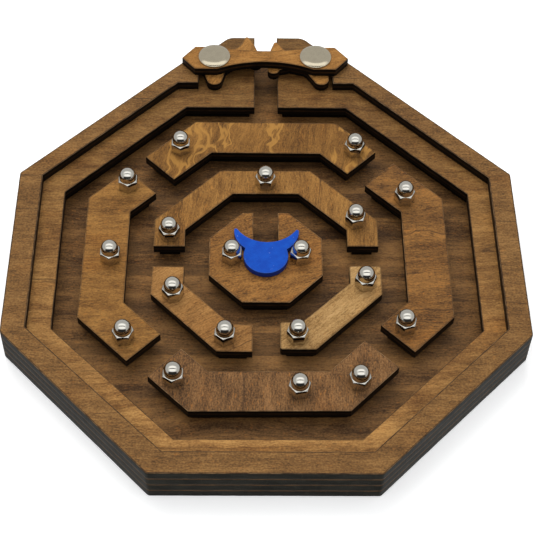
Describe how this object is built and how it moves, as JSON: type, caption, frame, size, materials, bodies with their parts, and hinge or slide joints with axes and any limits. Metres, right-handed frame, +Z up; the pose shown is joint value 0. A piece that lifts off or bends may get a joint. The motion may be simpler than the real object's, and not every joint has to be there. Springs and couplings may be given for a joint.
{
  "type": "token maze puzzle",
  "caption": "Octagonal layered wooden maze board with raised wall islands, dome-capped nuts as obstacles, a captive horned token in the channels and a two-lever exit gate.",
  "frame": {"origin": "centre of the maze on the underside of the floor plate", "axes": "+Y from the maze's centre towards the exit gate and the nose, +Z up out of the board, +X to the right seen from the front edge"},
  "size_m": [0.1472, 0.1641, 0.0162],
  "materials": {
    "stained_ply_floor": "satin",
    "stained_ply_spacer": "satin",
    "stained_ply_ring": "satin",
    "stained_ply_rim": "satin",
    "stained_ply_island": "satin",
    "pale_ply_island": "satin",
    "dark_ply_island": "satin",
    "stained_ply_gate": "satin",
    "polished_nickel": "polished",
    "satin_nickel": "satin",
    "zinc_screw": "satin",
    "blue_paint": "matt",
    "dowel_wood": "satin"
  },
  "bodies": {
    "board": {"base_plate": "stained_ply_floor", "frame_spacer": "stained_ply_spacer", "ring_plate": "stained_ply_ring", "rim": "stained_ply_rim", "gate_bridge": "stained_ply_gate", "left_gate_post": "satin_nickel", "right_gate_post": "satin_nickel", "left_post_screw": "zinc_screw", "right_post_screw": "zinc_screw", "top_island": "stained_ply_island", "top_island_spacer": "stained_ply_spacer", "top_cap_nuts": "polished_nickel", "top_screws": "zinc_screw", "left_island": "stained_ply_island", "left_island_spacer": "stained_ply_spacer", "left_cap_nuts": "polished_nickel", "left_screws": "zinc_screw", "right_island": "stained_ply_island", "right_island_spacer": "stained_ply_spacer", "right_cap_nuts": "polished_nickel", "right_screws": "zinc_screw", "arch_island": "stained_ply_island", "arch_island_spacer": "stained_ply_spacer", "arch_cap_nuts": "polished_nickel", "arch_screws": "zinc_screw", "lower_left_island": "stained_ply_island", "lower_left_island_spacer": "stained_ply_spacer", "lower_left_cap_nuts": "polished_nickel", "lower_left_screws": "zinc_screw", "lower_right_island": "pale_ply_island", "lower_right_island_spacer": "stained_ply_spacer", "lower_right_cap_nuts": "polished_nickel", "lower_right_screws": "zinc_screw", "front_island": "dark_ply_island", "front_island_spacer": "stained_ply_spacer", "front_cap_nuts": "polished_nickel", "front_screws": "zinc_screw", "centre_island": "stained_ply_island", "centre_island_spacer": "stained_ply_spacer", "centre_cap_nuts": "polished_nickel", "centre_screws": "zinc_screw"},
    "left_lever": {"left_gate_lever": "stained_ply_gate"},
    "right_lever": {"right_gate_lever": "stained_ply_gate"},
    "token_slider": {"token_flange": "dowel_wood"},
    "token": {"token_stem": "dowel_wood", "token_head": "blue_paint"}
  },
  "joints": [
    {"name": "left_lever_pivot", "type": "hinge", "parent": "board", "child": "left_lever", "pos_m": [-0.0165, 0.0757, 0.0105], "axis": [0, 0, 1], "range_deg": [-22, 64]},
    {"name": "right_lever_pivot", "type": "hinge", "parent": "board", "child": "right_lever", "pos_m": [0.0157, 0.0757, 0.0105], "axis": [0, 0, -1], "range_deg": [-10, 78]},
    {"name": "token_slide", "type": "slide", "parent": "board", "child": "token_slider", "axis": [0, 1, 0], "range_m": [0, 0.02]},
    {"name": "token_spin", "type": "hinge", "parent": "token_slider", "child": "token", "pos_m": [-0.0004, -0.00135, 0.0073], "axis": [0, 0, 1], "range_deg": [-4, 7]}
  ]
}
